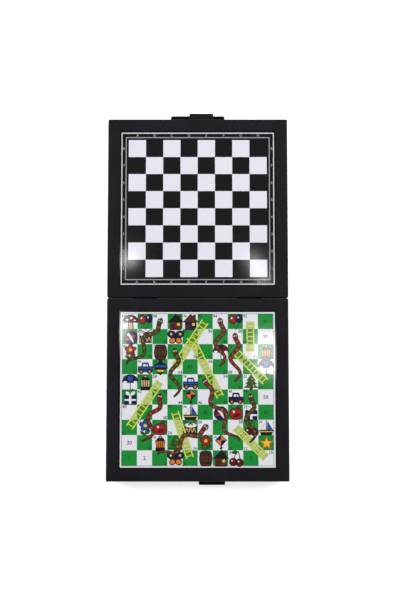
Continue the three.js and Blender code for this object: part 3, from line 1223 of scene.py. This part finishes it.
PIN_CHAMFER = 0.15 * MM
PIN_SIDES = 40
pin_steel = rolled_steel("pin_steel", (178, 180, 183), (120, 9000, 9000))
for node in ("hinge_pin_left", "hinge_pin_right"):
    low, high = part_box(node)
    radius, chamfer = (high.z - low.z) / 2, PIN_CHAMFER
    profile = np.array([
        (low.x, 0), (low.x, radius - chamfer), (low.x + chamfer, radius),
        (high.x - chamfer, radius), (high.x, radius - chamfer), (high.x, 0),
    ])
    centre_y, centre_z = (low.y + high.y) / 2, (low.z + high.z) / 2
    mesh = turned_along_x(node + "_wire", profile, centre_y, centre_z, PIN_SIDES)
    mesh.materials.append(pin_steel)
    pin = placed(node + "_wire", mesh)
    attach(pin, "chess_half")
    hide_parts(node)
    print(pin.name, "length", round((high.x - low.x) / MM, 2), "mm")

# %% [markdown]
# ## A white ground
#
# The photograph has a pure white ground. More light would wash out the object, so the floor gets a
# little light of its own instead, which only the camera and the gloss can see. It is held back
# where the object shades the floor, so the shadow at its foot stays and the inside of the box is
# dark. The photograph shows the light ground through the seam, so a strip there keeps its light.

# %% Floor finish
def reckoned(tree, operation, *values):
    """A Math node over numbers or other nodes' outputs."""
    made = tree.nodes.new("ShaderNodeMath")
    made.operation = operation
    for target, value in zip(made.inputs, values):
        feed(tree, target, value)
    return made.outputs[0]


def seen_directly(tree):
    """1 on rays from the camera and on those by way of gloss or glass, else 0."""
    paths = tree.nodes.new("ShaderNodeLightPath").outputs
    by_gloss_or_glass = reckoned(tree, "MAXIMUM", paths["Is Glossy Ray"],
                                 paths["Is Transmission Ray"])
    return reckoned(tree, "MAXIMUM", paths["Is Camera Ray"], by_gloss_or_glass)


GLOW_REACH = (0.25, 0.9)
GLOW = (0.7, 1.0)
SHADE_REACH = 0.03
OPEN_SKY = (0.1, 0.4)
SEAM_STRIP = (1.5 * MM, 2.5 * MM)
floor_finish = Finish("white_floor", Roughness=0.9, Base_Color=linear(244, 244, 245))
ground = floor_finish.tree
spot = floor_finish.place()
away = floor_finish.node("ShaderNodeVectorMath", {"operation": "LENGTH"}, Vector=spot)
glow = ranged(ground, away.outputs["Value"], *GLOW_REACH, *GLOW)
sky_seen = floor_finish.node("ShaderNodeAmbientOcclusion", Distance=SHADE_REACH).outputs["AO"]
in_the_open = ranged(ground, sky_seen, *OPEN_SKY, 0.0, 1.0)
along_y = floor_finish.node("ShaderNodeSeparateXYZ", Vector=spot).outputs["Y"]
from_seam = reckoned(ground, "ABSOLUTE", reckoned(ground, "SUBTRACT", along_y, seam_y))
under_seam = ranged(ground, from_seam, *SEAM_STRIP, 1.0, 0.0)
lit = reckoned(ground, "MAXIMUM", in_the_open, under_seam)
glow_where_lit = reckoned(ground, "MULTIPLY", glow, lit)
lift = reckoned(ground, "MULTIPLY", seen_directly(ground), glow_where_lit)
floor_finish.shader.inputs["Emission Color"].default_value = (1, 1, 1, 1)
floor_finish.link(lift, "Emission Strength")
print("floor finish:", len(ground.nodes), "nodes")

# %% [markdown]
# The floor lies just under the feet and reaches so far that no view shows its end. Blender's own
# plane would do. Here it is a grid worked out as arrays, as the other pieces are.

# %% Floor sheet
FLOOR_REACH = 20
FLOOR_POINTS = 5
FLOOR_DROP = 0.05 * MM
reach = np.linspace(-FLOOR_REACH, FLOOR_REACH, FLOOR_POINTS)
grid_x, grid_y = np.meshgrid(reach, reach)
grid_z = np.full_like(grid_x, cad_low.z - FLOOR_DROP)
floor_points = np.stack([grid_x, grid_y, grid_z], -1).reshape(-1, 3)
steps = np.arange(FLOOR_POINTS - 1)
corner = np.add.outer(steps * FLOOR_POINTS, steps).ravel()
floor_faces = np.stack([corner, corner + 1, corner + FLOOR_POINTS + 1, corner + FLOOR_POINTS], 1)
floor_mesh = bpy.data.meshes.new("floor")
floor_mesh.from_pydata(floor_points.tolist(), [], floor_faces.tolist())
floor_mesh.materials.append(floor_finish.material)
floor = placed("floor", floor_mesh)
floor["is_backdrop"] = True
print("floor of", len(floor_mesh.polygons), "faces,", 2 * FLOOR_REACH, "m wide")

# %% [markdown]
# ## The room
#
# A dim white room fills the shadows. Seen by the camera or in the gloss, its walls are white up to
# a third of the way overhead, so a low view ends in white too, and the ceiling stays dim.

# %% Room light
ROOM_LIGHT = 0.15
WALL_LIGHT = 0.85
WALL_TOP = (0.28, 0.5)
world = bpy.data.worlds.new("studio")
scene.world = world
world.use_nodes = True
sky = world.node_tree
way = sky.nodes.new("ShaderNodeSeparateXYZ")
sky.links.new(sky.nodes.new("ShaderNodeTexCoord").outputs["Generated"], way.inputs[0])
wall = ranged(sky, way.outputs["Z"], *WALL_TOP, WALL_LIGHT, 0.0)
strength = reckoned(sky, "MULTIPLY_ADD", wall, seen_directly(sky), ROOM_LIGHT)
sky.links.new(strength, sky.nodes["Background"].inputs["Strength"])
sky.nodes["Background"].inputs["Color"].default_value = (1, 1, 1, 1)
print("room light", ROOM_LIGHT, "walls as seen", ROOM_LIGHT + WALL_LIGHT)

# %% [markdown]
# ## Lamps
#
# Two wide soft lamps stand left and right, like windows, far enough out that the gloss doesn't
# mirror them to the camera.

# %% Windows
WINDOW = (0.6, 0.9)
LEFT_WATTS = 17.0
RIGHT_WATTS = 19.8


def soft_lamp(name, place, width, height, watts):
    """A rectangular area lamp that faces the middle of the box."""
    data = bpy.data.lights.new(name, "AREA")
    data.shape = "RECTANGLE"
    data.size, data.size_y, data.energy = width, height, watts
    lamp = placed(name, data)
    lamp.location = place
    lamp.rotation_euler = (aim - Vector(place)).to_track_quat("-Z", "Y").to_euler()
    return lamp


soft_lamp("left_window", (-1.25, 0.42, 0.78), *WINDOW, LEFT_WATTS)
soft_lamp("right_window", (1.25, 0.5, 0.78), *WINDOW, RIGHT_WATTS)
print("windows of", WINDOW, "m")

# %% [markdown]
# The photograph has four faint glints on the gloss near the seam, two on each board. Each is the
# mirror image of a small bright thing overhead, so a small lamp is hung where the print mirrors it.

# %% Glints
GLINT_HEIGHT = 1.2
GLINTS = {
    "chess_left_glint": (-51, 28.3, 14, 9, 12.5, 0),
    "chess_right_glint": (43.5, 21, 9, 25, 7.5, 30),
    "snakes_left_glint": (-53.6, -23, 7, 20, 19, 0),
    "snakes_right_glint": (48.2, -40, 14, 27, 16, 0),
}


def glint(name, x, y, width, length, radiance, slant):
    """A small lamp that the gloss mirrors at x, y from the seam's middle, at the size given there.

    The line from the camera to that spot, turned up by the flat print, meets the lamp at
    GLINT_HEIGHT above it. An area lamp of area A shows a radiance of watts / (pi A).
    """
    spot = Vector((x, seam_y + y, top_z))
    ratio = GLINT_HEIGHT / (camera.location.z - top_z)
    over = (spot - camera.location) * ratio
    place = spot + Vector((over.x, over.y, GLINT_HEIGHT))
    wide, long = width * (1 + ratio), length * (1 + ratio)
    lamp = soft_lamp(name, place, wide, long, radiance * math.pi * wide * long)
    lamp.rotation_euler = (0, 0, slant)


for name, (x, y, width, length, radiance, slant) in GLINTS.items():
    glint(name, x * MM, y * MM, width * MM, length * MM, radiance, math.radians(slant))

# %% [markdown]
# ## Size
#
# The dressed object has to fill the same box as the CAD solids, so both boxes are written down.

# %% Size of the dressed object
low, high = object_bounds()
print("visual box in mm:", [round(v / MM, 2) for v in high - low])
